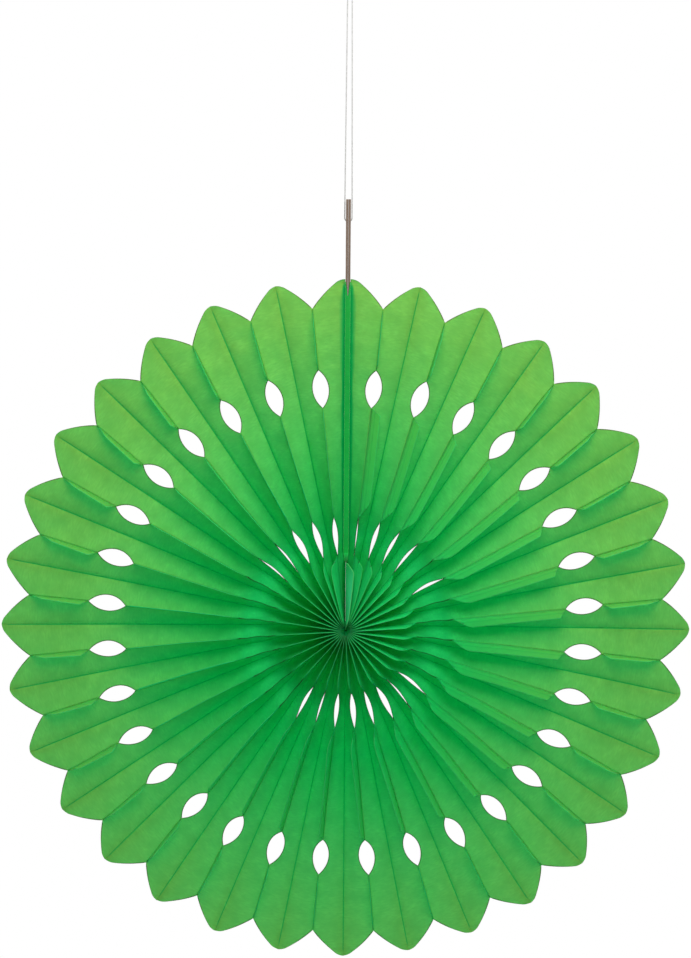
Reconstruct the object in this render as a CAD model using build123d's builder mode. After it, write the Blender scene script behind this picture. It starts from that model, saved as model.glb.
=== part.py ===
from build123d import *
from math import atan2, cos, degrees, pi, radians, sin, tan
import os

# Paper fan medallion, hung by a thread loop. Millimetres, +Z up, the front of the fan faces -Y.
# The origin is the hanging point: the inside of the thread loop's top, straight above the hub.
# Depths are measured towards the viewer from the plane of the petal tips, and radii from the hub:
# each piece but the thread is drawn round the hub and then moved to its place.

# The round of the fan
petal_count = 32
tip_radius = 203.2
notch_radius = 188.3
petal_tip_round = 8.5
petal_tip_turn = 31.0
petal_flank_bulge = 0.9
hub_radius = 3.0
seam_inner_radius = 5.0
hub_drop = 369.0

# The tissue leaves: two glued along a front ridge make a pleat, and pleats are glued along the valleys
tissue = 0.15
front_margin = 6.0
back_margin = 6.0
ridge_depth_at_hub = 14.5
ridge_depth_at_notch = 2.2
valley_dish = 2.0

# The die-cut openings, cut from the front edges
arch_inner_radius = 34.0
arch_outer_radius = 75.0
arch_height = 11.0
lens_inner_radius = 130.5
lens_outer_radius = 152.3
lens_half_width = 4.9
lens_inner_flare = 3.9
lens_outer_flare = 2.6
lens_snips = 4
arch_snips = 4
flank_snips = 2
tip_snips = 2
notch_taper = 6.0
funnel_radius = 6.5
funnel_depth = 5.0

# How far the glued ridges lean clockwise, in degrees: the seam pushes its neighbours over
seam_lean = 65.0
seam_lean_fade = 0.5
greatest_lean = 85.0

# The seam at the top, where the fan was opened out and closed on itself
card_thickness = 1.4
card_width = 10.0
card_front_depth = 0.5
card_inner_radius = 43.5
card_top_radius = 250.5
thread_hole_radius = 237.0
thread_hole_diameter = 3.0
seam_opening = 0.8
binding_outer_radius = 196.5
binding_leg = 7.0
fin_inner_radius = 10.0
fin_rise = 1.5
fin_inner_lean = 10.0
fin_lean = 60.0

# The threads
thread_diameter = 0.75
thread_clearance = 0.4
thread_end = 0.1
loop_radius = 1.3
tie_radius = 6.0
tie_thickness = 0.6
tie_depth = 5.0
tie_clearance = 0.3

# Values that follow
seam_half = card_thickness + tissue
seam_gap = 2 * degrees(atan2(seam_half + seam_opening, tip_radius))
pitch = (360 - seam_gap) / petal_count
half_sector = radians(pitch / 2)
lens_corner_inner = lens_inner_radius - lens_inner_flare
lens_corner_outer = lens_outer_radius + lens_outer_flare
lens_middle = (lens_inner_radius + lens_outer_radius) / 2
thread_hole_depth = card_front_depth - card_width / 2
hub = Location((0, thread_hole_depth, -hub_drop))
side_plane = Plane(origin=(0, 0, 0), x_dir=(0, 0, 1), z_dir=(1, 0, 0))
above = 3 * front_margin
past_rim = tip_radius + 1

# Along a pleat, inside the lens and outside it, where its ridge leans on its own: radius, lean,
# droop under its own weight at the side of the fan, share of the seam's push
inner_leans = [
    (hub_radius, 0, 0, 0),
    (arch_inner_radius, 12, 0, 1),
    (arch_outer_radius, 30, 30, 1),
    (lens_middle, 12, 32, 1),
]
outer_leans = [
    (lens_middle, -10, 14, 0.5),
    (past_rim, -10, 14, 0.5),
]


def ridge_depth(r):
    """Depth of the line where the two leaves of a pleat part, at radius r."""
    return ridge_depth_at_hub + (ridge_depth_at_notch - ridge_depth_at_hub) * r / notch_radius


def edge_depth(r):
    """Depth of the free edge of an upright glued ridge, at radius r."""
    return ridge_depth(r) + front_margin


def valley_depth(r):
    """Depth of the crease between two pleats: the back of the fan is slightly dished."""
    return -valley_dish * sin(pi * min(r / tip_radius, 1))


def snipped(curve, snips):
    """Draw a round stretch of a die-cut edge as equal straight snips."""
    return Polyline(*[curve @ (step / snips) for step in range(snips + 1)])


def snipped_arc(start, end, sagitta, snips):
    """Draw an arc between two points as equal straight snips."""
    return snipped(SagittaArc(start, end, sagitta, mode=Mode.PRIVATE), snips)


def pleat_section(r, left, right, lean):
    """Closed outline across a pleat at radius r: a roof of two leaves, its ridge and its back margins."""
    ridge, valley = ridge_depth(r), valley_depth(r)
    rise = ridge - valley
    bend_left = tissue * tan(atan2(-left - tissue, rise) / 2)
    bend_right = tissue * tan(atan2(right - tissue, rise) / 2)
    top_x, top = front_margin * sin(lean), ridge + front_margin * cos(lean)
    side_x, side, foot = tissue * cos(lean), tissue * sin(lean), tissue * tan(lean / 2)
    outline = [
        (-tissue, ridge + foot),
        (top_x - side_x, top + side),
        (top_x + side_x, top - side),
        (tissue, ridge - foot),
        (right, valley),
        (right, valley - back_margin),
        (right - tissue, valley - back_margin),
        (right - tissue, valley - bend_right),
        (0, ridge - (bend_left + bend_right) / 2),
        (left + tissue, valley - bend_left),
        (left + tissue, valley - back_margin),
        (left, valley - back_margin),
        (left, valley),
    ]
    return [Vector(x, -depth, r) for x, depth in outline]


def folded_sheet(sections):
    """Solid through closed sections, each wall between two of them folded from its back corner outwards."""
    walls = [Face(Wire.make_polygon(sections[0])), Face(Wire.make_polygon(sections[-1]))]
    for near, far in zip(sections, sections[1:]):
        for k in range(len(near)):
            back, front = (k - 1, k) if near[k - 1].Y > near[k].Y else (k, k - 1)
            walls.append(Face(Wire.make_polygon([near[back], near[front], far[front]])))
            walls.append(Face(Wire.make_polygon([near[back], far[front], far[back]])))
    return Solid(Shell(walls))


def seam_side(r, azimuth):
    """Distance across the pleat from its ridge line to the seam's flat side, at radius r."""
    free = tissue if r <= arch_inner_radius else seam_half
    return (r * sin(azimuth) - free) / cos(azimuth)


def azimuth_of(number):
    """Direction of a pleat's ridge, in degrees clockwise from the seam."""
    return seam_gap / 2 + pitch * (number - 0.5)


def lean_at(r, number, leans):
    """Lean of a pleat's ridge at radius r, in radians, between the rows of a table of leans."""
    near, far = next(rows for rows in zip(leans, leans[1:]) if r <= rows[1][0])
    share = (r - near[0]) / (far[0] - near[0])
    lean, droop, push = [a + (b - a) * share for a, b in zip(near[1:], far[1:])]
    after_seam = seam_lean * seam_lean_fade ** (number - 1)
    before_seam = seam_lean * seam_lean_fade ** (petal_count - number)
    whole = lean + droop * sin(radians(azimuth_of(number))) + push * (after_seam - before_seam)
    return radians(min(whole, greatest_lean))


def pleat_sheet(number, radii, leans):
    """Stretch of a pleat through its sections at some radii, before its openings are cut."""
    azimuth = radians(azimuth_of(1))
    sections = []
    for r in radii:
        wide = r * tan(half_sector)
        left = seam_side(r, azimuth) if number == 1 else wide
        right = seam_side(r, azimuth) if number == petal_count else wide
        sections.append(pleat_section(r, -left, right, lean_at(r, number, leans)))
    return folded_sheet(sections)


def make_pleat(number):
    """Pleat of two leaves, standing with its ridge towards +Z, before it is turned to its place."""
    inner_radii = [hub_radius]
    if number in (1, petal_count):
        beside_card = card_inner_radius * cos(radians(azimuth_of(1)))
        inner_radii = [seam_inner_radius, arch_inner_radius, beside_card]
    with BuildPart() as pleat:
        add(pleat_sheet(number, inner_radii + [arch_outer_radius, lens_middle], inner_leans))
        add(pleat_sheet(number, [lens_middle, past_rim], outer_leans))
        with BuildSketch(side_plane):
            with BuildLine():
                arch_start = (arch_inner_radius, edge_depth(arch_inner_radius))
                arch_end = (arch_outer_radius, edge_depth(arch_outer_radius))
                snipped_arc(arch_start, arch_end, -arch_height, arch_snips)
                Polyline(
                    arch_end,
                    (arch_outer_radius, ridge_depth_at_hub + above),
                    (arch_inner_radius, ridge_depth_at_hub + above),
                    arch_start,
                )
            make_face()
            with BuildLine():
                Polyline(
                    (lens_corner_inner, ridge_depth_at_hub + above),
                    (lens_corner_inner, edge_depth(lens_corner_inner)),
                    (lens_inner_radius, ridge_depth(lens_inner_radius)),
                    (lens_outer_radius, ridge_depth(lens_outer_radius)),
                    (lens_corner_outer, edge_depth(lens_corner_outer)),
                    (lens_corner_outer, ridge_depth_at_hub + above),
                    close=True,
                )
            make_face()
            with BuildLine():
                Polyline(
                    (notch_radius - notch_taper, ridge_depth_at_hub + above),
                    (notch_radius - notch_taper, edge_depth(notch_radius - notch_taper)),
                    (notch_radius, ridge_depth(notch_radius)),
                    (past_rim, ridge_depth(past_rim)),
                    (past_rim, ridge_depth_at_hub + above),
                    close=True,
                )
            make_face()
            with BuildLine():
                Polyline(
                    (0, edge_depth(0) - funnel_depth),
                    (hub_radius, edge_depth(0) - funnel_depth),
                    (funnel_radius, edge_depth(funnel_radius)),
                    (funnel_radius, ridge_depth_at_hub + above),
                    (0, ridge_depth_at_hub + above),
                    close=True,
                )
            make_face()
            with Locations((tie_radius, tie_depth)):
                Rectangle(tie_thickness + 2 * tie_clearance, tie_thickness + 2 * tie_clearance)
        extrude(amount=tip_radius / 4, both=True, mode=Mode.SUBTRACT)
        with BuildSketch(Plane.XZ):
            with BuildLine():
                snipped_arc((0, lens_inner_radius), (0, lens_outer_radius), lens_half_width, lens_snips)
                snipped_arc((0, lens_outer_radius), (0, lens_inner_radius), lens_half_width, lens_snips)
            make_face()
        extrude(amount=tip_radius / 4, both=True, mode=Mode.SUBTRACT)
        with BuildSketch(Plane.XZ.offset(-above)):
            with BuildLine():
                petal_tip = (tip_radius * sin(half_sector), tip_radius * cos(half_sector))
                inward = (-cos(half_sector), sin(half_sector))
                past_tip = (petal_tip[0] - front_margin * inward[0], petal_tip[1] - front_margin * inward[1])
                rounding = JernArc(petal_tip, inward, petal_tip_round, petal_tip_turn, mode=Mode.PRIVATE)
                snipped(rounding, tip_snips)
                snipped_arc(rounding @ 1, (0, notch_radius), -petal_flank_bulge, flank_snips)
                Polyline(petal_tip, past_tip, (past_tip[0], 0), (0, 0))
                mirror(about=Plane.YZ)
            make_face()
        extrude(amount=3 * above, mode=Mode.INTERSECT)
    return pleat.part


def make_card(side):
    """Card strip on one side of the seam, with its end standing out above the petals as a tab."""
    with BuildPart() as card:
        with BuildSketch(side_plane):
            with Locations(((card_inner_radius + card_top_radius) / 2, thread_hole_depth)):
                Rectangle(card_top_radius - card_inner_radius, card_width)
            with Locations((thread_hole_radius, thread_hole_depth)):
                Circle(thread_hole_diameter / 2, mode=Mode.SUBTRACT)
        extrude(amount=side * card_thickness)
    return card.part


def binding_section(r, lean):
    """Closed outline across the binding inside the cards' ends: an upright web with a leaning free edge."""
    back, root = valley_depth(r) - back_margin, ridge_depth(r) + fin_rise
    top_x, top = front_margin * sin(lean), root + front_margin * cos(lean)
    side_x, side, foot = tissue * cos(lean), tissue * sin(lean), tissue * tan(lean / 2)
    outline = [
        (-tissue, back),
        (-tissue, root + foot),
        (top_x - side_x, top + side),
        (top_x + side_x, top - side),
        (tissue, root - foot),
        (tissue, back),
    ]
    return [Vector(x, -depth, r) for x, depth in outline]


def make_binding():
    """Tissue strip folded over the front edges of both cards, and standing free between them and the hub."""
    with BuildPart() as binding:
        with BuildSketch(Plane.XY.offset(card_inner_radius)):
            with Locations((0, (binding_leg - tissue) / 2 - card_front_depth)):
                Rectangle(2 * seam_half, binding_leg + tissue)
            with Locations((0, binding_leg / 2 - card_front_depth)):
                Rectangle(2 * card_thickness, binding_leg, mode=Mode.SUBTRACT)
        extrude(amount=binding_outer_radius - card_inner_radius)
        inner_end = binding_section(fin_inner_radius, radians(fin_inner_lean))
        outer_end = binding_section(arch_inner_radius, radians(fin_lean))
        add(folded_sheet([inner_end, outer_end]))
        with BuildSketch(side_plane):
            with BuildLine():
                Polyline(
                    (arch_inner_radius, valley_depth(arch_inner_radius) - back_margin),
                    (arch_inner_radius, ridge_depth(arch_inner_radius)),
                    (card_inner_radius, card_front_depth + tissue),
                    (card_inner_radius, card_front_depth - binding_leg),
                    close=True,
                )
            make_face()
        extrude(amount=tissue, both=True)
    return binding.part


def make_thread():
    """Thread loop, pulled taut: out of the hole on both sides, up the tab and round the hook's place."""
    hole = thread_hole_radius - hub_drop + thread_hole_diameter / 2 - thread_clearance - thread_diameter / 2
    out = card_thickness + thread_clearance + thread_diameter / 2
    top = thread_diameter / 2
    corners = [(out, hole), (loop_radius, top), (-loop_radius, top), (-out, hole)]
    ends = [(thread_end, hole), (-thread_end, hole)]
    points = [Vector(x, 0, z) for x, z in [ends[0]] + corners + [ends[1]]]
    radii = []
    for before, corner, after in zip(points, points[1:], points[2:]):
        half_turn = radians((corner - before).get_angle(after - corner) / 2)
        radii.append(0.45 * min((corner - before).length, (after - corner).length) / tan(half_turn))
    print("thread radii", [round(radius, 2) for radius in radii])
    with BuildPart() as thread:
        with BuildLine():
            route = FilletPolyline(*points, radius=radii)
        with BuildSketch(Plane(origin=route @ 0, z_dir=route % 0)):
            Circle(thread_diameter / 2)
        sweep(path=route)
    section = pi * thread_diameter ** 2 / 4
    print("thread length", round(route.length, 2), "volume", round(thread.part.volume, 3),
          "section times length", round(section * route.length, 3))
    return thread.part


def make_tie():
    """Ring of thread through all the leaves beside the hub, drawn tight and straight between them."""
    with BuildPart() as tie:
        with BuildSketch(Plane.XZ.offset(tie_depth - tie_thickness / 2)):
            RegularPolygon(tie_radius + tie_thickness / 2, petal_count)
            RegularPolygon(tie_radius - tie_thickness / 2, petal_count, mode=Mode.SUBTRACT)
        extrude(amount=tie_thickness)
    return tie.part


def keep(piece, name):
    """Label a finished piece and write it."""
    piece.label = name
    export_step(piece, f"parts/{name}.step")
    print(name, round(piece.volume, 2), "valid" if piece.is_valid else "NOT VALID")


os.makedirs("parts", exist_ok=True)
for number in range(1, petal_count + 1):
    keep(hub * Rotation(0, azimuth_of(number), 0) * make_pleat(number), f"pleat_{number:02d}")
keep(hub * make_card(-1), "card_strip_left")
keep(hub * make_card(1), "card_strip_right")
keep(hub * make_binding(), "seam_binding")
keep(make_thread(), "hanging_thread")
keep(hub * make_tie(), "hub_tie")
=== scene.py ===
"""Looks of a hanging paper fan medallion: glued tissue pleats, card strips at the seam, a thread loop."""

import logging
from dataclasses import dataclass
from enum import Enum
from functools import reduce
from math import atan2, cos, exp, pi, radians, sin, sqrt, tan, tau
from random import Random
from typing import NamedTuple

import bmesh
import bpy
import numpy as np
from bpy.types import ID, Material, Mesh, Node, NodeSocket, Object
from mathutils import Matrix, Vector


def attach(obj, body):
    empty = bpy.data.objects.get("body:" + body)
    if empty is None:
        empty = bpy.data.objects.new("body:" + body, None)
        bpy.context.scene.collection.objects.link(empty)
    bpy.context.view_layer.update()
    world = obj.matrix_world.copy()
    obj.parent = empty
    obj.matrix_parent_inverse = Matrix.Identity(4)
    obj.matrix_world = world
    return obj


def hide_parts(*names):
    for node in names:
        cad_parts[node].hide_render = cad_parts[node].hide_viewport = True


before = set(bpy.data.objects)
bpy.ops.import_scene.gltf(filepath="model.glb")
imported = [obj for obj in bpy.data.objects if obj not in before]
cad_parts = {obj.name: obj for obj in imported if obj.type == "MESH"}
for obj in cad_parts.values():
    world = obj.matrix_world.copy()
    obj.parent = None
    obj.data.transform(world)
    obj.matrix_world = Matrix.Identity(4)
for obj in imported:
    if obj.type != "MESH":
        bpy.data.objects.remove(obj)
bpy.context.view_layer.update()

Colour = tuple[float, float, float, float]
Place = tuple[float, float, float]
Floats = tuple[float, ...]


class Side(Enum):
    """The two leaves of a pleat, seen from the front with the ridge pointing up."""

    LEFT = -1
    RIGHT = 1


class Spot(NamedTuple):
    """A point of a leaf in its row: across, towards the viewer, flat distance and marks."""

    x: float
    depth: float
    flat: float
    # The next mark darkens cut edges and paints shade on the binding.
    ink: float = 0.0
    # The next mark paints a highlight on free edges.
    pale: float = 0.0
    # The next mark paints shade along creases and where the binding turns in. It also gives the real glue
    # lines and darker back margins.
    fold: float = 0.0
    glued: float = 0.0


def lerp(a: float, b: float, share: float) -> float:
    """Value a share of the way from a to b."""
    return a + (b - a) * share


def held(value: float, low: float = 0.0, high: float = 1.0) -> float:
    """Value kept between two bounds."""
    return min(max(value, low), high)


def bow(chord: float, height: float, offset: float) -> float:
    """Height of a flat arc over its chord.

    Args:
        chord: length of the chord.
        height: height of the arc at its middle.
        offset: distance along the chord from its middle.

    Returns:
        The arc's height there, or less than nothing past its ends.
    """
    radius = (chord * chord / 4 + height * height) / (2 * height)
    return sqrt(max(radius * radius - offset * offset, 0.0)) - (radius - height)


def shown(name: str, data: ID) -> Object:
    """Make an object from its data and link it to the scene.

    Args:
        name: name of the object.
        data: its mesh, light or camera.

    Returns:
        The new object.
    """
    made = bpy.data.objects.new(name, data)
    bpy.context.scene.collection.objects.link(made)
    return made


def dressed(name: str, data: Mesh, finish: Material) -> Object:
    """Make a piece from its mesh, smoothly shaded and riding on the medallion.

    Args:
        name: name of the piece.
        data: its mesh.
        finish: its material.

    Returns:
        The new piece.
    """
    data.materials.append(finish)
    data.shade_smooth()
    piece = shown(name, data)
    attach(piece, "root")
    return piece


@dataclass(frozen=True)
class Grain:
    """Noise in a finish: how fine it is each way, its detail, the values it spans and the bumps it makes."""

    fine: Place
    detail: float
    span: tuple[float, float] = (0.0, 1.0)
    strength: float = 0.0
    depth: float = 0.0


@dataclass(frozen=True)
class Shades:
    """Short ways to lay out the nodes of one finish."""

    material: Material

    @classmethod
    def start(cls, name: str) -> "Shades":
        """Start an empty finish.

        Args:
            name: name of the material.

        Returns:
            The way to lay out its nodes.
        """
        material = bpy.data.materials.new(name)
        material.use_nodes = True
        material.node_tree.nodes.clear()
        return cls(material)

    def node(self, kind: str, *first: object, setting: tuple = (), **inputs: object) -> Node:
        """Add a node and fill its sockets.

        Args:
            kind: the node's type, without the word ShaderNode.
            first: socket values or links for its first sockets.
            setting: name and value of a setting that is made before.
            inputs: socket values or links by socket name, with _ for a space.

        Returns:
            The new node.
        """
        made = self.material.node_tree.nodes.new("ShaderNode" + kind)
        if setting:
            setattr(made, *setting)
        for socket, value in zip(made.inputs, first):
            self.fill(socket, value)
        for name, value in inputs.items():
            self.fill(made.inputs[name.replace("_", " ")], value)
        return made

    def fill(self, socket: NodeSocket, value: object) -> None:
        """Link a socket to another, or set its value.

        Args:
            socket: the socket to fill.
            value: the socket that it gets its value from, or the value.
        """
        if isinstance(value, NodeSocket):
            self.material.node_tree.links.new(value, socket)
        else:
            socket.default_value = value

    def noise(self, place: NodeSocket, grain: Grain) -> NodeSocket:
        """Noise of a grain at a place, as a value round a half."""
        fine = self.stretched(place, grain.fine)
        return self.node("TexNoise", Vector=fine, Scale=1.0, Detail=grain.detail).outputs[0]

    def ramp(self, factor: NodeSocket, low: float, high: float) -> NodeSocket:
        """Stretch a value so that low becomes 0 and high becomes 1, held between them."""
        return self.node("MapRange", Value=factor, From_Min=low, From_Max=high).outputs[0]

    def between(self, share: NodeSocket, first: float, second: float) -> NodeSocket:
        """Value that goes from the first to the second with a share."""
        return self.node("MapRange", Value=share, To_Min=first, To_Max=second).outputs[0]

    def bump(self, height: NodeSocket, grain: Grain, **under: NodeSocket) -> NodeSocket:
        """Bumps of a grain's noise, on top of those given as Normal."""
        made = self.node("Bump", Height=height, Strength=grain.strength, Distance=grain.depth, **under)
        return made.outputs[0]

    def mark(self, name: str) -> NodeSocket:
        """Value of a mark on the mesh."""
        return self.node("Attribute", setting=("attribute_name", name)).outputs["Fac"]

    def mix(self, factor: NodeSocket, first: object, second: object) -> NodeSocket:
        """Mix two colours by a factor."""
        made = self.node("Mix", setting=("data_type", "RGBA"), Factor=factor, A=first, B=second)
        return made.outputs["Result"]

    def times(self, first: NodeSocket, second: NodeSocket) -> NodeSocket:
        """Multiply two values."""
        return self.node("Math", first, second, setting=("operation", "MULTIPLY")).outputs[0]

    def distance(self, place: NodeSocket, centre: Place) -> NodeSocket:
        """Distance of a place from a centre."""
        return self.node("VectorMath", place, centre, setting=("operation", "DISTANCE")).outputs["Value"]

    def stretched(self, place: NodeSocket, scale: Place) -> NodeSocket:
        """A place with its three directions scaled."""
        return self.node("Mapping", Vector=place, Scale=scale).outputs[0]

    def finish(self, shader: NodeSocket) -> Material:
        """Send a shader to the surface and hand over the material."""
        self.node("OutputMaterial", Surface=shader)
        return self.material

    def coat(self, colour: object, roughness: float, **more: NodeSocket) -> Material:
        """Finish the surface with an opaque coat."""
        made = self.node("BsdfPrincipled", Base_Color=colour, Roughness=roughness, **more)
        return self.finish(made.outputs[0])


@dataclass(frozen=True)
class TissueFinish:
    """Bright green tissue paper: fibres, a little see-through, darker cut edges, painted shade, highlights,
    hub light and reflection.
    """

    name: str = "tissue_paper"
    face: Colour = (0.02, 0.62, 0.18, 1)
    pale_face: Colour = (0.05, 0.78, 0.25, 1)
    # Painted reflection: yellow-olive colours that stand in for the front lamp's reflection. They are mixed
    # in further from a centre a little above the hub, and glued ridges get their own below.
    painted_reflection: Colour = (0.41, 0.50, 0.06, 1)
    pale_faded: Colour = (0.58, 0.66, 0.10, 1)
    glued: Colour = (0.05, 0.84, 0.26, 1)
    glued_painted_reflection: Colour = (0.55, 0.68, 0.13, 1)
    # Painted light near the hub: a brighter, bluer green over the leaves, full within the nearer radius and
    # gone past the farther.
    hub_painted_light: Colour = (0.06, 0.90, 0.34, 1)
    hub_light_from: float = 0.044
    hub_light_to: float = 0.022
    # Where the painted reflection starts and where it is full, counted from its centre with up and down
    # squeezed.
    reflection_from: float = 0.060
    reflection_to: float = 0.170
    reflection_spread: Place = (1.0, 0.0, 0.88)
    reflection_middle: Place = (0.0, 0.0, -0.3347)
    in_plane: Place = (1, 0, 1)
    hub: Place = (0.0, 0.0, -0.369)
    through: Colour = (0.0, 0.92, 0.44, 1)
    clear_through: Colour = (0.0, 1.0, 0.49, 1)
    glued_through: Colour = (0.0, 1.0, 0.80, 1)
    # Colours for darker cut edges and for painted shade on the binding, in front and seen through.
    ink: Colour = (0.03, 0.06, 0.01, 1)
    ink_through: Colour = (0.005, 0.09, 0.02, 1)
    # Dark green for painted shade along creases and at the binding's turn, for the real glue lines and for
    # the darker back margins.
    fold: Colour = (0.0, 0.30, 0.06, 1)
    # Colour of the painted highlight on free edges.
    edge: Colour = (0.16, 0.90, 0.24, 1)
    roughness: float = 0.75
    sheen: float = 0.12
    see_through: float = 0.57
    glued_see_through: float = 0.76
    # Share of the glued ridge's extra see-through that a highlighted free edge keeps, so that it reflects
    # more.
    edge_clearness: float = 0.2
    fibres: Grain = Grain((1100, 260, 1), 4.0, (0.2, 0.7), 0.4, 0.00012)
    clouds: Grain = Grain((150, 120, 1), 5.0, (0.25, 0.65))
    crumple: Grain = Grain((300, 90, 1), 3.0, strength=0.5, depth=0.00025)

    def make(self) -> Material:
        """Build the finish.

        Returns:
            The material, which reads a piece's leaf map, its places round the hub, and its marks for darker
            cut edges and painted shade, painted highlights, painted crease shade and glue lines, and glued
            ridges.
        """
        shades = Shades.start(self.name)
        place = shades.node("UVMap").outputs[0]
        fibres = shades.noise(place, self.fibres)
        clouds = shades.noise(place, self.clouds)
        mottle = shades.times(shades.ramp(fibres, *self.fibres.span), shades.ramp(clouds, *self.clouds.span))
        spot = shades.node("TexCoord").outputs["Object"]
        reflection_distance = shades.distance(shades.stretched(spot, self.reflection_spread), self.reflection_middle)
        radius = shades.distance(shades.stretched(spot, self.in_plane), self.hub)
        # Share of painted reflection: none near its centre, full further out.
        out = shades.ramp(reflection_distance, self.reflection_from, self.reflection_to)
        # Share of painted light near the hub.
        hub_light_share = shades.ramp(radius, self.hub_light_from, self.hub_light_to)
        plain_paper = shades.mix(mottle, self.face, self.pale_face)
        paper = shades.mix(out, plain_paper, shades.mix(mottle, self.painted_reflection, self.pale_faded))
        pale, ink, fold, glued = (shades.mark(name) for name in ("pale", "ink", "fold", "glued"))
        doubled = shades.mix(out, self.glued, self.glued_painted_reflection)
        leaf = shades.mix(hub_light_share, shades.mix(glued, paper, doubled), self.hub_painted_light)
        # Painted shade along creases, and the real glue lines.
        folded = shades.mix(fold, leaf, self.fold)
        # Painted highlight on free edges, then darker cut edges and painted shade on the binding.
        inked = shades.mix(ink, shades.mix(pale, folded, self.edge), self.ink)
        rough = shades.bump(shades.noise(place, self.crumple), self.crumple)
        grain = shades.bump(fibres, self.fibres, Normal=rough)
        front = shades.node(
            "BsdfPrincipled", Base_Color=inked, Roughness=self.roughness, Specular_IOR_Level=self.sheen,
            Normal=grain)
        passing = shades.mix(glued, shades.mix(mottle, self.through, self.clear_through), self.glued_through)
        back = shades.node("BsdfTranslucent", Color=shades.mix(ink, passing, self.ink_through), Normal=grain)
        # Highlighted free edges are less see-through, which adds to the painted highlight.
        clear = shades.times(glued, shades.between(pale, 1.0, self.edge_clearness))
        thin = shades.between(clear, self.see_through, self.glued_see_through)
        return shades.finish(shades.node("MixShader", thin, front.outputs[0], back.outputs[0]).outputs[0])


@dataclass(frozen=True)
class FibreFinish:
    """Opaque fibres between a dark and a light colour, with bumps from the first of their grains."""

    name: str
    dark: Colour
    light: Colour
    roughness: float
    grains: tuple[Grain, ...]

    def make(self) -> Material:
        """Build the finish.

        Returns:
            The material, laid out in the medallion's own space.
        """
        shades = Shades.start(self.name)
        place = shades.node("TexCoord").outputs["Object"]
        noises = [shades.noise(place, grain) for grain in self.grains]
        ramps = [shades.ramp(noise, *grain.span) for noise, grain in zip(noises, self.grains)]
        blend = reduce(shades.times, ramps)
        colour = shades.mix(blend, self.dark, self.light)
        return shades.coat(colour, self.roughness, Normal=shades.bump(noises[0], self.grains[0]))


@dataclass(frozen=True)
class CardFinish(FibreFinish):
    """Brown kraft board with short fibres, darker in its layers at the cut edges."""

    name: str = "kraft_card"
    dark: Colour = (0.16, 0.105, 0.075, 1)
    light: Colour = (0.33, 0.245, 0.18, 1)
    roughness: float = 0.85
    grains: tuple[Grain, ...] = (
        Grain((2600, 400, 60), 4.0, (0.25, 0.7), 0.5, 0.0002), Grain((900, 900, 500), 6.0, (0.2, 0.75)))


@dataclass(frozen=True)
class ThreadFinish(FibreFinish):
    """Off-white cotton, mottled grey by a fine grain."""

    name: str = "cotton_thread"
    dark: Colour = (0.50, 0.50, 0.48, 1)
    light: Colour = (0.80, 0.80, 0.78, 1)
    roughness: float = 0.8
    grains: tuple[Grain, ...] = (Grain((3000, 3000, 900), 4.0, (0.3, 0.7), 0.4, 0.0001),)


@dataclass(frozen=True)
class StageFinish:
    """Plain pale paint for the floor."""

    name: str = "pale_floor"
    colour: Colour = (0.78, 0.78, 0.78, 1)
    roughness: float = 0.9

    def make(self) -> Material:
        """Build the finish."""
        return Shades.start(self.name).coat(self.colour, self.roughness)


@dataclass
class Finishes:
    """The materials that the sub-assemblies share."""

    tissue: Material
    doubled: Material
    card: Material
    thread: Material

    @classmethod
    def make(cls) -> "Finishes":
        """Build each finish once.

        Returns:
            The materials.
        """
        # Doubled tissue of the binding, whose painted reflection colours are plain greens.
        doubled = TissueFinish(
            name="tissue_doubled", face=(0.01, 0.56, 0.09, 1), pale_face=(0.02, 0.68, 0.12, 1),
            painted_reflection=(0.02, 0.52, 0.07, 1), pale_faded=(0.03, 0.62, 0.09, 1), see_through=0.2)
        return cls(TissueFinish().make(), doubled.make(), CardFinish().make(), ThreadFinish().make())


@dataclass
class Viewpoint:
    """The photograph's viewpoint, level with the upper petals and looking a little down."""

    place: Place = (0.0, -1.0828, -0.15158)
    right: Place = (0.999973, 0.001416, 0.007208)
    up: Place = (-0.007325, 0.119730, 0.992779)
    lens: float = 69.38
    sensor: float = 36.0

    def make(self) -> None:
        """Set up the camera."""
        data = bpy.data.cameras.new("camera")
        data.lens, data.sensor_width = self.lens, self.sensor
        camera = shown("camera", data)
        right, up = Vector(self.right).normalized(), Vector(self.up)
        back = right.cross(up).normalized()
        up = back.cross(right)
        turn = Matrix((right, up, back)).transposed().to_4x4()
        camera.matrix_world = Matrix.Translation(self.place) @ turn
        bpy.context.scene.camera = camera


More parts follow.
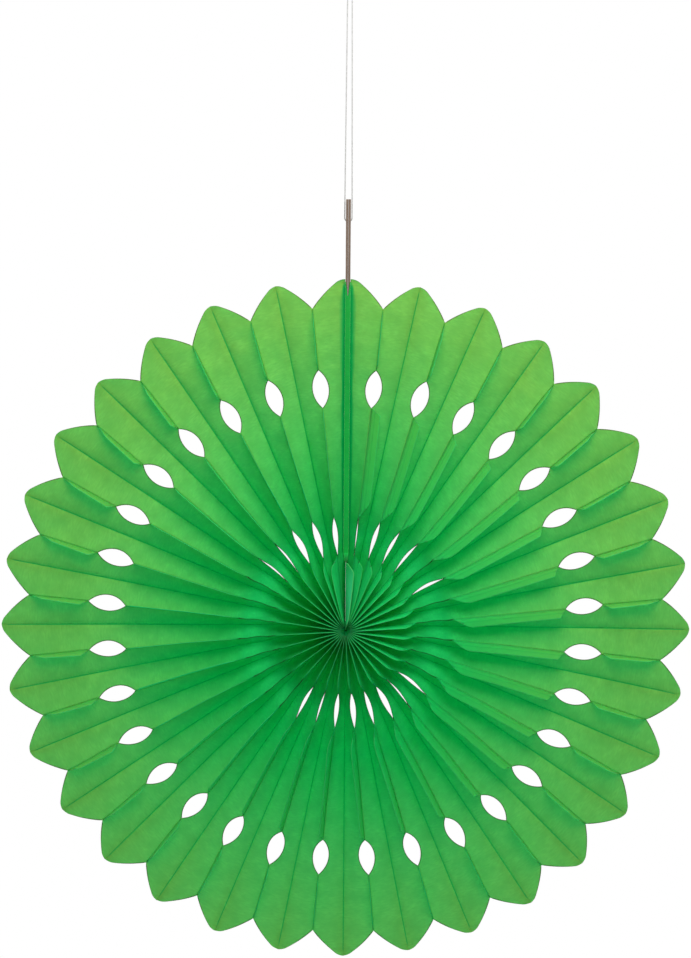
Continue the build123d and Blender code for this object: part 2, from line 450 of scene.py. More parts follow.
@dataclass
class Studio:
    """White behind the medallion, dimmer in front, a soft lamp before and above it, a plain pale floor."""

    behind: float = 1.0
    before: float = 0.07
    dim_until: float = -0.45
    bright_from: float = 0.05
    white: Colour = (1, 1, 1, 1)
    lamp_power: float = 4.1
    lamp_place: Place = (0.07, -0.44, 0.22)
    lamp_size: float = 0.5
    floor_height: float = -1.0
    floor_radius: float = 0.6
    floor_sides: int = 96
    target: Place = (0.0, 0.0, -0.36)

    def make_surround(self) -> None:
        """Light from all round, by direction."""
        world = bpy.data.worlds.new("surround")
        world.use_nodes = True
        tree = world.node_tree
        background = tree.nodes["Background"]
        directions = tree.nodes.new("ShaderNodeTexCoord")
        parts = tree.nodes.new("ShaderNodeSeparateXYZ")
        strength = tree.nodes.new("ShaderNodeMapRange")
        strength.interpolation_type = "SMOOTHSTEP"
        levels = (("From Min", self.dim_until), ("From Max", self.bright_from),
                  ("To Min", self.before), ("To Max", self.behind))
        for name, value in levels:
            strength.inputs[name].default_value = value
        tree.links.new(directions.outputs["Generated"], parts.inputs[0])
        tree.links.new(parts.outputs["Y"], strength.inputs["Value"])
        tree.links.new(strength.outputs[0], background.inputs["Strength"])
        background.inputs["Color"].default_value = self.white
        bpy.context.scene.world = world

    def make_lamp(self) -> None:
        """Soft lamp, aimed at the medallion."""
        data = bpy.data.lights.new("soft_lamp", "AREA")
        data.energy, data.size = self.lamp_power, self.lamp_size
        lamp = shown("soft_lamp", data)
        lamp.location = self.lamp_place
        aim = Vector(self.target) - Vector(self.lamp_place)
        lamp.rotation_euler = aim.to_track_quat("-Z", "Y").to_euler()

    def make_floor(self) -> None:
        """Round plain floor below the medallion."""
        turns = [tau * k / self.floor_sides for k in range(self.floor_sides)]
        corners = [(self.floor_radius * cos(a), self.floor_radius * sin(a), self.floor_height) for a in turns]
        data = bpy.data.meshes.new("floor")
        data.from_pydata(corners, [], [tuple(range(self.floor_sides))])
        data.materials.append(StageFinish().make())
        floor = shown("floor", data)

    def make(self) -> None:
        """Set up the light and the floor."""
        bpy.context.scene.view_settings.view_transform = "Standard"
        self.make_surround()
        self.make_lamp()
        self.make_floor()


@dataclass(frozen=True)
class Twist:
    """Strands twisted round a line into a thread."""

    diameter: float
    share: float
    twist: float
    steps_a_turn: int
    closed: bool = False
    strands: int = 3
    sides: int = 6

    def make(self, name: str, line: list[Vector], finish: Material) -> Object:
        """Build the strands as one piece.

        Args:
            name: name of the piece.
            line: points of the thread's middle line.
            finish: the thread's material.

        Returns:
            The piece.
        """
        radius, sides = self.diameter * self.share, self.sides
        offset = self.diameter / 2 - radius
        points = np.array([tuple(p) for p in line])
        along = np.concatenate([[0], np.cumsum(np.linalg.norm(np.diff(points, axis=0), axis=1))])
        count = int(along[-1] / self.twist * self.steps_a_turn)
        places = np.linspace(0, along[-1], count + 1)
        middle = np.stack([np.interp(places, along, points[:, k]) for k in range(3)], axis=1)
        heading = np.gradient(middle, axis=0)
        if self.closed:
            heading[0] = heading[-1] = middle[1] - middle[-2]
        heading /= np.linalg.norm(heading, axis=1)[:, None]
        side = np.cross(heading, (0, 1, 0))
        side /= np.linalg.norm(side, axis=1)[:, None]
        other = np.cross(heading, side)
        turns = round(along[-1] / self.twist) if self.closed else along[-1] / self.twist
        verts, faces = [], []
        for strand in range(self.strands):
            angle = tau * (turns * places / along[-1] + strand / self.strands)
            centre = middle + offset * (np.cos(angle)[:, None] * side + np.sin(angle)[:, None] * other)
            base = len(verts)
            for k in range(count + 1):
                for a in (tau * turn / sides for turn in range(sides)):
                    verts.append(tuple(centre[k] + radius * (cos(a) * side[k] + sin(a) * other[k])))
            for k in range(count):
                for turn in range(sides):
                    here, there = base + k * sides + turn, base + k * sides + (turn + 1) % sides
                    faces.append((here, there, there + sides, here + sides))
            if not self.closed:
                faces.append(tuple(base + turn for turn in reversed(range(sides))))
                faces.append(tuple(base + count * sides + turn for turn in range(sides)))
        data = bpy.data.meshes.new(name)
        data.from_pydata(verts, [], faces)
        return dressed(name, data, finish)


@dataclass
class Thread:
    """The thread loop, pulled taut from the hole in the card strips to the hook's place."""

    diameter: float = 0.00075
    length: float = 0.268
    hole_height: float = -0.131275
    out: float = 0.002175
    loop_half: float = 0.0013
    top: float = 0.000375
    end: float = 0.0001
    straight: float = 0.0045
    curve_steps: int = 40
    strand_share: float = 0.29
    twist: float = 0.0022
    steps_a_turn: int = 10

    def route(self) -> list[Place]:
        """Route of the thread, with a point on each long run beside the hole and the hook.

        Returns:
            The control points, from one end inside the hole to the other.
        """
        slope = (self.out - self.loop_half) / (self.top - self.hole_height)
        low = (self.out - slope * self.straight, self.hole_height + self.straight)
        high = (self.loop_half + slope * self.straight, self.top - self.straight)
        half = [(self.end, self.hole_height), (self.out, self.hole_height), low, high,
                (self.loop_half, self.top)]
        return [(x, 0.0, z) for x, z in half] + [(-x, 0.0, z) for x, z in reversed(half)]

    def centre_line(self) -> list[Vector]:
        """Points along the smooth curve through the route.

        Returns:
            Points close together, in metres.
        """
        data = bpy.data.curves.new("thread_route", "CURVE")
        data.dimensions = "3D"
        spline = data.splines.new("NURBS")
        points = self.route()
        spline.points.add(len(points) - 1)
        for point, place in zip(spline.points, points):
            point.co = (*place, 1)
        spline.order_u = 3
        spline.use_endpoint_u = True
        data.resolution_u = self.curve_steps
        carrier = bpy.data.objects.new("thread_route", data)
        line = bpy.data.meshes.new_from_object(carrier)
        found = [v.co.copy() for v in line.vertices]
        bpy.data.objects.remove(carrier)
        bpy.data.meshes.remove(line)
        return found

    def make(self, finish: Material) -> Object:
        """Args:
            finish: the thread's material.

        Returns:
            The piece.
        """
        line = self.centre_line()
        twist = Twist(self.diameter, self.strand_share, self.twist, self.steps_a_turn)
        piece = twist.make("thread_strands", line, finish)
        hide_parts("hanging_thread")
        tuple(line[0])
        [tuple(p) for p in line]
        return piece


@dataclass
class Fan:
    """Sizes of the round of the fan, and the die-cut outline that all its leaves share.

    Depths are measured towards the viewer from the plane of the petal tips, and radii from the hub.
    """

    petals: int = 32
    tip: float = 0.2032
    notch: float = 0.1883
    tip_round: float = 0.0085
    tip_turn: float = radians(31)
    tip_points: int = 9
    flank_bulge: float = 0.0009
    flank_points: int = 13
    inner: float = 0.0005
    front_margin: float = 0.006
    back_margin: float = 0.006
    ridge_at_hub: float = 0.0145
    ridge_at_notch: float = 0.0022
    dish: float = 0.002
    arch_start: float = 0.034
    arch_end: float = 0.075
    arch_height: float = 0.0118
    arch_skew: float = 0.83
    arch_ease: float = 1.75
    arch_lift: float = 0.003
    lens_start: float = 0.1305
    lens_end: float = 0.1523
    lens_half: float = 0.0047
    lens_corner_start: float = 0.1266
    lens_corner_end: float = 0.1572
    sway_radii: Floats = (0.095, 0.1285, 0.1543, 0.182)
    sway_shares: Floats = (0, 0.5, -0.5, 0)
    sway: float = 0.0009
    double_sway: float = -0.0019
    notch_taper: float = 0.009
    funnel: float = 0.0065
    funnel_depth: float = 0.005
    seam_half: float = 0.00155
    seam_opening: float = 0.0008
    binding_start: float = 0.0435
    fin_end: float = 0.0395
    tissue: float = 0.00015
    row_counts: tuple[int, ...] = (6, 12, 30, 16, 3, 20, 3, 10, 3)
    hub: Place = (0.0, -0.0045, -0.369)

    def __post_init__(self) -> None:
        """Work out the petals' outline once."""
        self.rim_line = self.rim()

    @property
    def seam_gap(self) -> float:
        """Angle left open for the card strips."""
        return 2 * atan2(self.seam_half + self.seam_opening, self.tip)

    @property
    def pitch(self) -> float:
        """Angle of one pleat."""
        return (tau - self.seam_gap) / self.petals

    def azimuth(self, number: int) -> float:
        """Direction of a pleat's ridge, clockwise from the seam."""
        return self.seam_gap / 2 + self.pitch * (number - 0.5)

    def ridge(self, r: float) -> float:
        """Depth of the ridge at a radius."""
        return lerp(self.ridge_at_hub, self.ridge_at_notch, r / self.notch)

    def valley(self, r: float) -> float:
        """Depth of the valley at a radius."""
        return -self.dish * sin(pi * min(r / self.tip, 1))

    def card_share(self, r: float) -> float:
        """How far the seam has opened for the card strips at a radius, from 0 to 1."""
        return held((r - self.fin_end) / (self.binding_start - self.fin_end))

    def place(self, x: float, depth: float, r: float, turn: float = 0.0) -> Place:
        """Point in the row's frame.

        Args:
            x: distance across, clockwise.
            depth: distance towards the viewer from the plane of the petal tips.
            r: distance from the hub, outward.
            turn: direction that outward has, clockwise from straight up.

        Returns:
            The point.
        """
        across, front, up = self.hub
        return (across + x * cos(turn) + r * sin(turn), front - depth, up + r * cos(turn) - x * sin(turn))

    def leaning(self, levels: list[float], root: tuple[float, float], whole: float,
                shares: tuple[float, float], out: float) -> list[Spot]:
        """Spots of a glued ridge that leans by another share at its root and at its free edge.

        Args:
            levels: heights of the spots above the root, from the free edge down.
            root: distance across and depth of the root.
            whole: the lean in radians.
            shares: shares of it at the root and at the free edge of a whole ridge.
            out: how far the spots lie beside the middle of the ridge.

        Returns:
            A spot for each height.
        """
        x, depth = root
        below, spots = 0.0, []
        for level in reversed(levels):
            lean = whole * lerp(*shares, (level + below) / 2 / self.front_margin)
            x += (level - below) * sin(lean)
            depth += (level - below) * cos(lean)
            below = level
            spots.append(Spot(x + out * cos(lean), depth - out * sin(lean), -level))
        return spots[::-1]

    def sideways(self, r: float, turn: float) -> float:
        """How far the weight of the paper moves the ridge line beside the lens-shaped opening.

        Args:
            r: radius.
            turn: direction of the ridge.

        Returns:
            Distance, clockwise.
        """
        skew = self.sway * sin(turn) + self.double_sway * sin(2 * turn)
        return skew * float(np.interp(r, self.sway_radii, self.sway_shares))

    def front_cut(self, r: float, lift: float = 0.0) -> float:
        """How far the die cut goes in from the front edge of a glued ridge.

        Args:
            r: radius.
            lift: how much farther out the long opening sits on this pleat.

        Returns:
            Depth of the cut, from nothing to the whole width of the ridge or more.
        """
        margin = self.front_margin
        if r < self.funnel:
            return self.funnel_depth * (self.funnel - r) / (self.funnel - self.inner)
        share = (r - lift - self.arch_start) / (self.arch_end - self.arch_start)
        if 0 < share < 1:
            return self.arch_height * sin(pi * share ** self.arch_skew) ** self.arch_ease
        if self.lens_corner_start < r < self.lens_corner_end:
            rise = (r - self.lens_corner_start) / (self.lens_start - self.lens_corner_start)
            fall = (self.lens_corner_end - r) / (self.lens_corner_end - self.lens_end)
            return margin * min(rise, fall, 1)
        if r > self.notch - self.notch_taper:
            return margin * min((r - self.notch + self.notch_taper) / self.notch_taper, 1)
        return 0.0

    def rim(self) -> tuple[np.ndarray, np.ndarray]:
        """Outline of half a petal.

        Returns:
            Its radii, from the notch to the tip, and its angles from the ridge.
        """
        half = self.pitch / 2
        centre = self.tip - self.tip_round
        turns = np.linspace(0, self.tip_turn, self.tip_points)
        tip = [(self.tip_round * sin(a), centre + self.tip_round * cos(a)) for a in turns]
        start = np.array(tip[-1])
        end = np.array((self.notch * sin(half), self.notch * cos(half)))
        chord = np.linalg.norm(end - start)
        out = np.array((end[1] - start[1], start[0] - end[0])) / -chord
        flank = [start + (end - start) * s + out * bow(chord, self.flank_bulge, chord * (s - 0.5))
                 for s in np.linspace(0, 1, self.flank_points)[1:]]
        points = np.array(tip + [tuple(p) for p in flank])[::-1]
        radii = np.hypot(points[:, 0], points[:, 1])
        angles = half - np.arctan2(points[:, 0], points[:, 1])
        return radii, np.maximum(angles, 0)

    def rows(self) -> np.ndarray:
        """Radii at which the leaves have points, closer where the cut edges bend.

        Returns:
            The radii, from the hub to the tip.
        """
        marks = (self.inner, self.funnel, self.arch_start, self.arch_end, self.lens_corner_start,
                 self.lens_start, self.lens_end, self.lens_corner_end, self.notch - self.notch_taper,
                 self.notch)
        found = [self.inner]
        for near, far, count in zip(marks, marks[1:], self.row_counts):
            shares = np.linspace(0, 1, count + 1)[1:]
            if near in (self.arch_start, self.lens_start):
                shares = (1 - np.cos(pi * shares)) / 2
            found += [lerp(near, far, s) for s in shares]
        return np.array(found + list(self.rim_line[0][1:]))


@dataclass
class Lean:
    """How far the glued ridges lean clockwise along a pleat, in degrees."""

    radii: Floats = (0.0, 0.034, 0.075, 0.1266, 0.1549, 0.184, 0.21)
    lean: Floats = (0, 12, 30, 16, -3, 0, 0)
    droop: Floats = (0, 0, 30, 32, 20, 8, 2)
    least: Floats = (-10, 0, 22, 24, -32, -10, -5)
    stray: float = 5.0
    stray_whole: float = 0.075
    stray_seed: int = 900
    after: Floats = (0, 1, 1, 1, 0.1, 0, 0)
    before: Floats = (0, 1, 0.4, 0.2, 0, 0, 0)
    seam: float = 65
    fade: float = 0.5
    greatest: float = 85

    def at(self, r: float, number: int, fan: Fan) -> float:
        """Lean of a ridge at a radius.

        Args:
            r: radius.
            number: number of the pleat, clockwise from the seam.
            fan: the fan's sizes.

        Returns:
            The lean in radians.
        """
        columns = (self.lean, self.droop, self.least, self.after, self.before)
        lean, droop, least, after, before = (float(np.interp(r, self.radii, column)) for column in columns)
        push = after * self.fade ** (number - 1) - before * self.fade ** (fan.petals - number)
        turn = fan.azimuth(number)
        hanging = lean + droop * sin(turn)
        held = max(hanging, least * (1 - cos(turn)) / 2 if least > 0 else least)
        stray = self.stray * Random(self.stray_seed + number).uniform(-1, 1) * min(r / self.stray_whole, 1.0)
        return radians(min(held + stray + self.seam * push, self.greatest))


@dataclass
class Ripple:
    """Gentle waves of a tissue leaf, the same each time for one seed."""

    seed: int
    height: float
    count: int = 3
    least: float = 0.3
    lengths: tuple[float, float] = (0.030, 0.075)
    skew: float = 2.0

    def __post_init__(self) -> None:
        """Choose the waves of a leaf: height, turning, phase and skew of each."""
        draw = Random(self.seed)
        self.waves = [(self.height * draw.uniform(self.least, 1) / (k + 1),
                       tau / draw.uniform(*self.lengths) * (k + 1), draw.uniform(0, tau),
                       draw.uniform(-self.skew, self.skew)) for k in range(self.count)]

    def at(self, r: float, share: float) -> float:
        """Height of the waves at a radius and a share of the way across the leaf."""
        return sum(h * sin(r * turn + phase + skew * share) for h, turn, phase, skew in self.waves)


@dataclass
class Pleat:
    """Two die-cut leaves glued along their front edges, with the margins that hold them to the next pleat."""

    number: int
    fan: Fan
    lean: Lean
    half_gap: float = 0.0000505
    edge_width: float = 0.0006
    rim_width: float = 0.0009
    lean_shares: tuple[float, float] = (0.85, 1.15)
    glue_line: float = 0.0033
    glue_width: float = 0.00045
    glue_mark: float = 0.35
    glue_column: int = 3
    crease_shade: float = 0.9
    crease_width: float = 0.0005
    crease_columns: Floats = (2.5, 1.0, 0.0)
    crease_end: float = 0.0014
    crease_fade: float = 0.003
    widest_share: float = 0.06
    least_span: float = 1e-9
    ridge_fold: float = 0.0001
    ridge_fold_share: float = 0.12
    valley_fold: float = 0.0012
    valley_fold_share: float = 0.35
    seam_fold: float = 2.2
    fold_width: float = 0.0009
    folds_across: int = 6
    margin_mark: float = 0.5
    ripple: float = 0.0005
    ripple_whole: float = 0.010
    seed_step: int = 4
    slot_narrowing: float = 0.0007
    slot_meet: float = 0.0008
    slot_overlap: float = 0.0005
    slot_widest: float = 0.0040
    slot_shortening: float = 0.0004
    slot_rise: float = 0.4
    gapes: Floats = (
        0.0012, 0.0024, 0.0020, 0.0018, 0, 0.0019, 0, 0, 0, 0, 0, 0.0021, 0.0014, 0.0033, 0.0028, 0.0033,
        0.0028, 0.0015, 0.0022, 0, 0, 0, 0, 0, 0, 0, 0, 0.0013, 0.0014, 0.0033, 0.0033, 0.0032)
    seam_dip: float = 0.0028
    panel_shares: Floats = (0.12, 0.28, 0.45, 0.62, 0.80)
    flange_columns: int = 6
    margin_columns: int = 2
    map_step: float = 0.31
    map_side: float = 0.13

    def cut(self, r: float) -> float:
        """How far the die cut goes in from the front edge of this pleat."""
        return self.fan.front_cut(r, self.fan.arch_lift * cos(self.fan.azimuth(self.number)))

    def sideways(self, r: float) -> float:
        """How far the ridge line has moved clockwise."""
        return self.fan.sideways(r, self.fan.azimuth(self.number))

    def beside_seam(self, side: Side) -> bool:
        """Whether this leaf is the first or the last of the fan."""
        return (self.number, side) in ((1, Side.LEFT), (self.fan.petals, Side.RIGHT))

    def reach(self, r: float, side: Side) -> float:
        """Distance across the pleat from its ridge to its valley.

        Args:
            r: radius.
            side: which leaf.

        Returns:
            The distance, which is shorter beside the seam.
        """
        if not self.beside_seam(side):
            return r * tan(self.fan.pitch / 2)
        turn = self.fan.azimuth(1)
        free = lerp(self.fan.tissue, self.fan.seam_half, self.fan.card_share(r))
        return max((r * sin(turn) - free) / cos(turn), 0.0)

    def flange(self, r: float, side: Side) -> list[Spot]:
        """Spots of the glued ridge, from its free edge down to where the leaves part.

        Args:
            r: radius.
            side: which leaf.

        Returns:
            A fixed number of spots, all at the ridge line where the ridge is cut away.
        """
        margin = self.fan.front_margin
        height = max(margin - self.cut(r), 0.0)
        glue = margin - self.glue_line
        wanted = (height, height - self.edge_width, glue + self.glue_width, glue, glue - self.glue_width, 0.0)
        levels = [held(level, high=height) for level in wanted]
        whole = self.lean.at(r, self.number, self.fan)
        root = (self.sideways(r), self.fan.ridge(r))
        spots = self.fan.leaning(levels, root, whole, self.lean_shares, side.value * self.half_gap)
        # Painted highlight along the ridge's free edge.
        if height > self.edge_width:
            spots[0] = spots[0]._replace(pale=1.0)
        if glue < height - self.glue_width:
            spots[self.glue_column] = spots[self.glue_column]._replace(fold=self.glue_mark)
        return [spot._replace(glued=1.0 if height > 0 else 0.0) for spot in spots]

    def edge_of_panel(self, r: float, side: Side) -> tuple[float, float, bool]:
        """Where the leaf starts beside the ridge line.

        Args:
            r: radius.
            side: which leaf.

        Returns:
            Distance from the ridge line, depth, and whether that is a cut edge.
        """
        fan = self.fan
        ridge, valley, reach = fan.ridge(r), self.valley(r, side), self.reach(r, side)
        removed = self.cut(r)
        start = 0.0
        if removed > fan.front_margin:
            return self.edge_of_slot(r, side, removed - fan.front_margin)
        if fan.lens_start < r < fan.lens_end:
            middle = (fan.lens_start + fan.lens_end) / 2
            start = max(bow(fan.lens_end - fan.lens_start, fan.lens_half, r - middle), 0.0)
        if r > fan.notch:
            start = r * sin(float(np.interp(r, *fan.rim_line)))
        start = held(start, self.half_gap, reach)
        depth = ridge + (valley - ridge) * (start / reach if reach > 0 else 0.0)
        moved = side.value * self.sideways(r) * (1 - start / reach if reach > 0 else 0.0)
        return start + moved, depth, start > 2 * self.half_gap

    def edge_of_slot(self, r: float, side: Side, gone: float) -> tuple[float, float, bool]:
        """Where the leaf starts in the long opening near the hub, which is shut on most pleats.

        Args:
            r: radius.
            side: which leaf.
            gone: width of leaf that is cut away.

        Returns:
            Distance from the ridge line, depth, and that it is a cut edge.
        """
        fan = self.fan
        ridge, valley, reach = fan.ridge(r), self.valley(r, side), self.reach(r, side)
        slant = sqrt(reach ** 2 + (ridge - valley) ** 2)
        start = gone / slant * reach
        down = sin(fan.azimuth(self.number))
        upper = side.value * down < 0
        gape = self.gapes[self.number - 1]
        shut = 0.0 if gape > 0 else min(start / (2 * self.slot_narrowing), 1.0)
        meet = side.value * self.slot_meet * down + self.half_gap - (self.slot_overlap if upper else 0.0)
        share = gape / self.slot_widest
        open_edge = max(start * share - self.slot_shortening * (1 - share), self.half_gap)
        edge = lerp(open_edge, meet, shut)
        left = slant - gone
        depth = valley + sqrt(max(left ** 2 - (reach - edge) ** 2, (self.slot_rise * left) ** 2))
        return edge, depth + (self.slot_overlap * shut if upper else 0.0), True

    def valley(self, r: float, side: Side) -> float:
        """Depth of the crease on one side: lower beside the card strips, where the leaf turns in."""
        dip = self.seam_dip * self.fan.card_share(r) if self.beside_seam(side) else 0.0
        return self.fan.valley(r) - dip

    def panel(self, r: float, side: Side, ripple: Ripple) -> list[Spot]:
        """Spots of the free part of a leaf, from beside the ridge to the valley crease.

        Args:
            r: radius.
            side: which leaf.
            ripple: the leaf's waves.

        Returns:
            The spots.
        """
        fan, beside = self.fan, self.beside_seam(side)
        reach, ridge, valley = self.reach(r, side), fan.ridge(r), self.valley(r, side)
        start, top, cut = self.edge_of_panel(r, side)
        span = max(reach - start, self.least_span)
        drop = top - valley
        near = min(self.rim_width / span, self.widest_share)
        far = min(self.crease_width / span, self.widest_share)
        fold = min(self.fold_width, span / self.folds_across)
        glued = max(fan.front_margin - self.cut(r), 0.0) / fan.front_margin
        ridge_fold = min(self.ridge_fold, self.ridge_fold_share * drop) * glued
        to_tip = held((fan.tip - self.crease_end - r) / self.crease_fade)
        valley_fold = min(self.valley_fold, self.valley_fold_share * drop)
        valley_fold = (self.seam_fold if beside else 1.0) * valley_fold * to_tip
        width = sqrt(reach ** 2 + (ridge - valley) ** 2)
        spots = []
        for share in (0.0, near, *self.panel_shares, *(1 - column * far for column in self.crease_columns)):
            across = span * share
            depth = top - ridge_fold * (1 - exp(-across / fold)) - valley_fold * exp((across - span) / fold)
            depth -= (drop - ridge_fold - valley_fold) * share
            loose = sin(pi * share) if glued > 0 else 1 - share
            depth += ripple.at(r, share) * loose * min(reach / self.ripple_whole, 1.0)
            flat = (start + across) / reach * width if reach > 0 else 0.0
            # Painted shade along the valley crease, over a wider band beside the seam. A cut edge at the
            # leaf's start is drawn darker.
            creased = share == 1.0 or (beside and share > self.panel_shares[-1])
            spots.append(Spot(
                side.value * (start + across * (1 - self.half_gap / span)), depth, flat,
                ink=1.0 if cut and share == 0.0 else 0.0, fold=self.crease_shade * to_tip if creased else 0.0))
        return spots

    def margin(self, r: float, side: Side) -> list[Spot]:
        """Spots of the strip behind the valley crease, glued to the next pleat.

        Args:
            r: radius.
            side: which leaf.

        Returns:
            The spots.
        """
        back, reach, valley = self.fan.back_margin, self.reach(r, side), self.valley(r, side)
        x = side.value * (reach - self.half_gap)
        steps = [back * (k + 1) / self.margin_columns for k in range(self.margin_columns)]
        return [Spot(x, valley - step, back + reach + step, fold=self.margin_mark) for step in steps]

    def rows(self, side: Side) -> list[tuple[float, list[Spot]]]:
        """Rows of spots of one leaf, with their radii."""
        ripple = Ripple(self.seed_step * self.number + side.value, self.ripple)
        return [(r, self.flange(r, side) + self.panel(r, side, ripple) + self.margin(r, side))
                for r in self.fan.rows()]

    def make(self, finish: Material) -> Object:
        """Build the pleat as one piece.

        Args:
            finish: the tissue's material.

        Returns:
            The piece.
        """
        name = f"pleat_{self.number:02d}"
        sheet = Sheet(self.fan)
        for side in Side:
            shift = self.map_step * self.number + self.map_side * side.value
            sheet.add(self.rows(side), side, shift, self.fan.azimuth(self.number), self.flange_columns - 1)
        piece = sheet.make(f"tissue_{name}", finish)
        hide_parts(name)
        return piece


@dataclass
class Sheet:
    """Thin tissue built from rows of spots."""

    fan: Fan
    thickness: float = 0.0001
    merged: float = 2e-6
    vanishing: float = 1e-7
    sharp: float = radians(32)

    def __post_init__(self) -> None:
        """Start with nothing."""
        self.verts: list[Place] = []
        self.maps: list[tuple[float, float]] = []
        self.spots: list[Spot] = []
        self.faces: list[tuple[int, ...]] = []

    def add(self, rows: list[tuple[float, list[Spot]]], side: Side, shift: float, turn: float = 0.0,
            gap: int = -1) -> None:
        """Add rows of spots, each with its radius.

        Args:
            rows: the rows, all of one length.
            side: side that they are on, which turns the faces the other way on the right.
            shift: where their leaf map starts.
            turn: direction of the rows' middle, clockwise from straight up.
            gap: column after which the rows are open, or -1.
        """
        base, columns = len(self.verts), len(rows[0][1])
        for r, row in rows:
            self.verts += [self.fan.place(spot.x, spot.depth, r, turn) for spot in row]
            self.maps += [(r + shift, spot.flat) for spot in row]
            self.spots += row
        for i in range(len(rows) - 1):
            for j in range(columns - 1):
                if j == gap:
                    continue
                here = base + i * columns + j
                quad = (here, here + 1, here + columns + 1, here + columns)
                self.faces.append(quad[::-1] if side is Side.RIGHT else quad)

    def make(self, name: str, finish: Material) -> Object:
        """Make the piece.

        Args:
            name: name of the piece.
            finish: the tissue's material.

        Returns:
            The piece, with its leaf map and marks.
        """
        data = bpy.data.meshes.new(name)
        data.from_pydata(self.verts, [], self.faces)
        for label in ("ink", "pale", "fold", "glued"):
            values = [getattr(spot, label) for spot in self.spots]
            data.attributes.new(label, "FLOAT", "POINT").data.foreach_set("value", values)
        layer = data.uv_layers.new(name="leaf")
        corners = np.array([self.maps[loop.vertex_index] for loop in data.loops], dtype=np.float32)
        layer.data.foreach_set("uv", corners.reshape(-1))
        work = bmesh.new()
        work.from_mesh(data)
        bmesh.ops.remove_doubles(work, verts=work.verts[:], dist=self.merged)
        bmesh.ops.dissolve_degenerate(work, dist=self.vanishing, edges=work.edges[:])
        work.to_mesh(data)
        work.free()
        piece = dressed(name, data, finish)
        data.set_sharp_from_angle(angle=self.sharp)
        thick = piece.modifiers.new("tissue", "SOLIDIFY")
        thick.thickness = self.thickness
        thick.offset = 0
        return piece


@dataclass
class Binding:
    """Tissue strip over the front edges of the cards, and its free blade between them and the hub."""

    fan: Fan
    lean: float = radians(60)
    inner_lean: float = radians(10)
    lean_shares: tuple[float, float] = (0.6, 1.2)
    rise: float = 0.0015
    start: float = 0.0006
    web_half: float = 0.0000505
    web_levels: Floats = (0.6, 0.3, 0.0)
    web_depths: Floats = (0.3, 0.6, 1.0)
    web_shade: float = 0.1
    front: float = 0.00065
    back: float = -0.0065
    half: float = 0.00148
    inner_half: float = 0.0007
    inner_drop: float = 0.002
    shoulder: float = 0.75
    side_steps: Floats = (0.0004, 0.0012, 0.003)
    side_pale: float = 0.4
    side_shade: float = 0.35
    crown: float = 0.00025
    split: float = 0.1945
    end: float = 0.2026
    split_half: float = 0.00105
    split_edge: float = 0.0003
    split_step: float = 0.0005
    strip_start: float = 0.05
    strip_rows: tuple[int, ...] = (5, 40, 8)
    fin_step: float = 0.0345
    fin_rows: tuple[int, ...] = (16, 12)
    strip_map: float = 11.3
    fin_map: float = 12.7
    edge_width: float = 0.0005
    turn_fold_shade: float = 0.9
    turn_shade: float = 0.6

    def strip_row(self, r: float, side: Side) -> list[Spot]:
        """Spots of one half of the strip, from the middle of its front to its back edge.

        Args:
            r: radius.
            side: which half.

        Returns:
            The spots.
        """
        opening = self.split_half * held((r - self.split) / (self.end - self.split))
        narrow = self.fan.card_share(r)
        half = lerp(self.inner_half, self.half, narrow)
        front = lerp(self.fan.ridge(self.fan.fin_end) - self.inner_drop, self.front, narrow)
        # Painted shade where the strip turns down towards the hub, through both the fold and the dark marks.
        dark, shade = self.turn_fold_shade * (1 - narrow), self.turn_shade * (1 - narrow)
        across = [opening, opening + self.split_edge, lerp(opening, half, self.shoulder), half]
        spots = [Spot(side.value * x, front + self.crown * (1 - (x / half) ** 2), x, ink=shade, fold=dark)
                 for x in across]
        if opening > 0:
            spots[0] = spots[0]._replace(ink=1.0)
        # Painted highlight on the strip's side corner, and painted shade down its sides.
        spots[-1] = spots[-1]._replace(pale=self.side_pale)
        down = (*self.side_steps, front - self.back)
        return spots + [Spot(side.value * half, front - step, half + step, self.side_shade) for step in down]

    def fin_row(self, r: float, side: Side) -> list[Spot]:
        """Spots of one leaf of the blade, from its free edge down to the back.

        Args:
            r: radius.
            side: which leaf.

        Returns:
            The spots.
        """
        fan = self.fan
        height = max(fan.front_margin - fan.front_cut(r), 0.0)
        share = (r - self.start) / (fan.arch_start - self.start)
        whole = lerp(self.inner_lean, self.lean, min(share, 1.0))
        wanted = (height, height - self.edge_width, *(height * level for level in self.web_levels))
        levels = [held(level, high=height) for level in wanted]
        root, back = fan.ridge(r) + self.rise, fan.valley(r) - fan.back_margin
        out = side.value * self.web_half
        spots = fan.leaning(levels, (0.0, root), whole, self.lean_shares, out)
        # Painted highlight along the blade's free edge.
        spots[0] = spots[0]._replace(pale=1.0)
        # Painted shade down the blade's web.
        downs = [lerp(root, back, share) for share in self.web_depths]
        return spots + [Spot(out, depth, root - depth, self.web_shade) for depth in downs]

    def make(self, finish: Material) -> Object:
        """Build the binding as one piece.

        Args:
            finish: the tissue's material.

        Returns:
            The piece.
        """
        fan = self.fan
        sheet = Sheet(fan)
        turned, plain, opened = self.strip_rows
        strip_radii = [*np.linspace(fan.fin_end, fan.binding_start, turned),
                       *np.linspace(self.strip_start, self.split, plain),
                       *np.linspace(self.split + self.split_step, self.end, opened)]
        fin_radii = [*np.linspace(self.start, fan.arch_start, self.fin_rows[0]),
                     *np.linspace(self.fin_step, fan.fin_end, self.fin_rows[1])]
        kinds = ((strip_radii, self.strip_row, self.strip_map), (fin_radii, self.fin_row, self.fin_map))
        for side in Side:
            for radii, row_of, shift in kinds:
                rows = [(r, [spot._replace(flat=side.value * spot.flat) for spot in row_of(r, side)])
                        for r in radii]
                sheet.add(rows, side, shift)
        piece = sheet.make("tissue_binding", finish)
        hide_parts("seam_binding")
        return piece


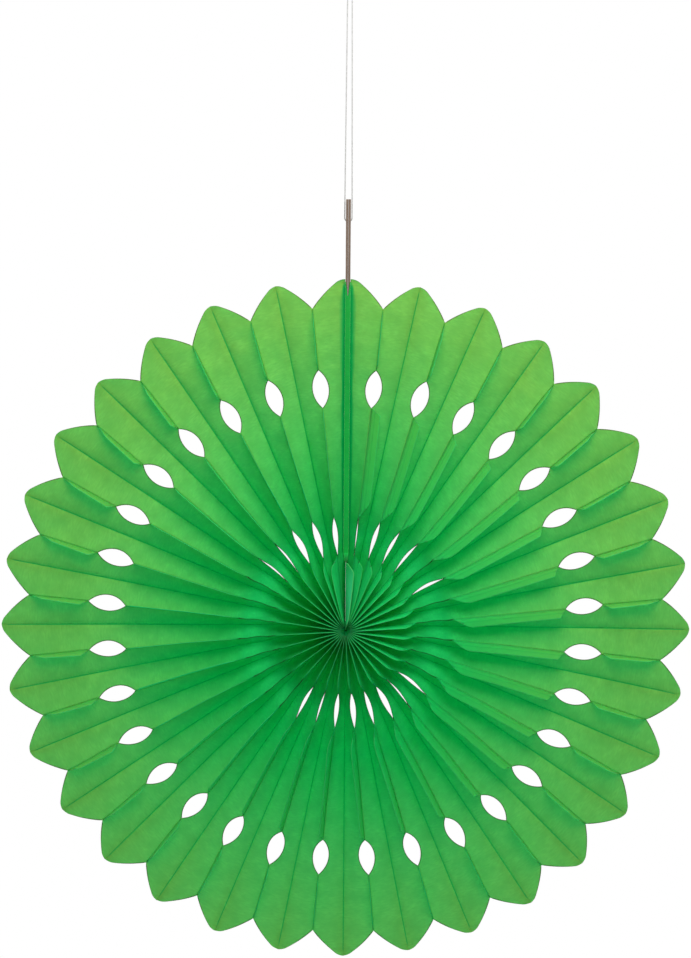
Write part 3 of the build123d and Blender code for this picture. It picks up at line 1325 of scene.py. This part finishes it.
@dataclass
class CardStrip:
    """Kraft card strip on one side of the seam, with worn edges and a punched hole."""

    fan: Fan
    side: Side
    thickness: float = 0.0014
    gap: float = 0.00004
    front: float = 0.0005
    width: float = 0.010
    inner: float = 0.0435
    top: float = 0.2505
    slant: float = 0.0004
    hole_at: float = 0.237
    hole: float = 0.0015
    hole_sides: int = 24
    wear: float = 0.00012
    wear_steps: int = 2
    worn_from: float = 0.7
    sharp: float = radians(35)

    def make(self, finish: Material) -> Object:
        """Build the strip as one piece.

        Args:
            finish: the card's material.

        Returns:
            The piece.
        """
        out, back = self.side.value, self.front - self.width
        name = "card_strip_left" if self.side is Side.LEFT else "card_strip_right"
        work = bmesh.new()
        middle = self.front - self.width / 2
        lowered = self.top - self.slant * (2 if self.side is Side.LEFT else 1)
        outline = [(self.inner, self.front), (lowered, self.front), (self.top, back), (self.inner, back)]
        turns = [tau * k / self.hole_sides for k in range(self.hole_sides)]
        ring = [(self.hole_at + self.hole * cos(a), middle + self.hole * sin(a)) for a in turns]
        edges = []
        for loop in (outline, ring):
            verts = [work.verts.new(self.fan.place(out * self.gap, depth, r)) for r, depth in loop]
            edges += [work.edges.new((a, b)) for a, b in zip(verts, verts[1:] + verts[:1])]
        face = bmesh.ops.triangle_fill(work, edges=edges, use_beauty=True)["geom"]
        faces = [item for item in face if isinstance(item, bmesh.types.BMFace)]
        grown = bmesh.ops.extrude_face_region(work, geom=faces)["geom"]
        moved = [item for item in grown if isinstance(item, bmesh.types.BMVert)]
        bmesh.ops.translate(work, verts=moved, vec=(out * (self.thickness - self.gap), 0, 0))
        bmesh.ops.recalc_face_normals(work, faces=work.faces[:])
        worn = [edge for edge in work.edges
                if len(edge.link_faces) == 2 and edge.calc_face_angle() > self.worn_from]
        bmesh.ops.bevel(work, geom=worn, offset=self.wear, segments=self.wear_steps, affect="EDGES",
                        profile=0.5)
        data = bpy.data.meshes.new(name)
        work.to_mesh(data)
        work.free()
        piece = dressed(f"kraft_{name}", data, finish)
        data.set_sharp_from_angle(angle=self.sharp)
        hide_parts(name)
        return piece


@dataclass
class Tie:
    """Thread through all the leaves beside the hub, drawn tight."""

    fan: Fan
    radius: float = 0.006
    depth: float = 0.005
    points: int = 129
    twist: Twist = Twist(0.0006, 0.27, 0.0018, 8, closed=True)

    def make(self, finish: Material) -> Object:
        """Build the tie as one piece.

        Args:
            finish: the thread's material.

        Returns:
            The piece.
        """
        line = [Vector(self.fan.place(self.radius * cos(a), self.depth, self.radius * sin(a)))
                for a in np.linspace(0, tau, self.points)]
        piece = self.twist.make("tie_strands", line, finish)
        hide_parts("hub_tie")
        return piece


def main() -> None:
    """Build the camera, the thread, the tissue and the rest, and report each piece."""
    logging.basicConfig(level=logging.INFO, format="%(message)s")
    log = logging.getLogger("fan")
    Viewpoint().make()
    Studio().make()
    finishes = Finishes.make()
    made = [Thread().make(finishes.thread)]
    fan, lean = Fan(), Lean()
    made += [Pleat(number, fan, lean).make(finishes.tissue) for number in range(1, fan.petals + 1)]
    made.append(Binding(fan).make(finishes.doubled))
    made += [CardStrip(fan, side).make(finishes.card) for side in Side]
    made.append(Tie(fan).make(finishes.thread))
    for piece in made:
        log.info("%s: %d faces", piece.name, len(piece.data.polygons))


if __name__ == "__main__":
    main()
